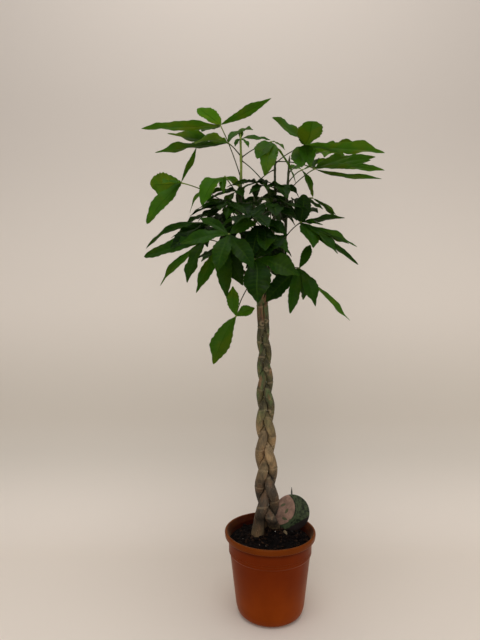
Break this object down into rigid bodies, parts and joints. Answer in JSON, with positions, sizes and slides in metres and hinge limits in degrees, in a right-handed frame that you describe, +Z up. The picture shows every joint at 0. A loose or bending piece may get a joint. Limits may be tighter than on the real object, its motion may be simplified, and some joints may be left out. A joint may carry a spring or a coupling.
{
  "type": "potted money tree",
  "caption": "Potted money tree with a braided trunk, a crown of hand-shaped leaves on long stalks, a tapered nursery pot filled with soil and a round care label on a stick.",
  "frame": {"origin": "on the pot's axis, at the height of its foot ring", "axes": "+Z up along the pot's axis, front towards -Y, with the care label behind and to the right"},
  "size_m": [0.738, 0.5174, 1.482],
  "materials": {
    "pot": "satin terracotta-coloured plastic",
    "soil": "damp potting mix with bark and perlite",
    "bark": "smooth grey-brown bark with leaf scars",
    "leaf": "waxy green leaves and stalks",
    "label": "printed card under gloss film",
    "stick": "dark plastic"
  },
  "bodies": {
    "root": {"pot": "pot", "soil": "soil", "trunk_strand_left": "bark", "trunk_strand_right": "bark", "trunk_strand_back": "bark", "leafy_stem_left": "leaf", "leafy_stem_lower_left": "leaf", "leafy_stem_middle": "leaf", "leafy_stem_back": "leaf", "leafy_stem_right": "leaf", "leafy_stem_front": "leaf", "care_label": "label", "label_stick": "stick"}
  },
  "joints": []
}
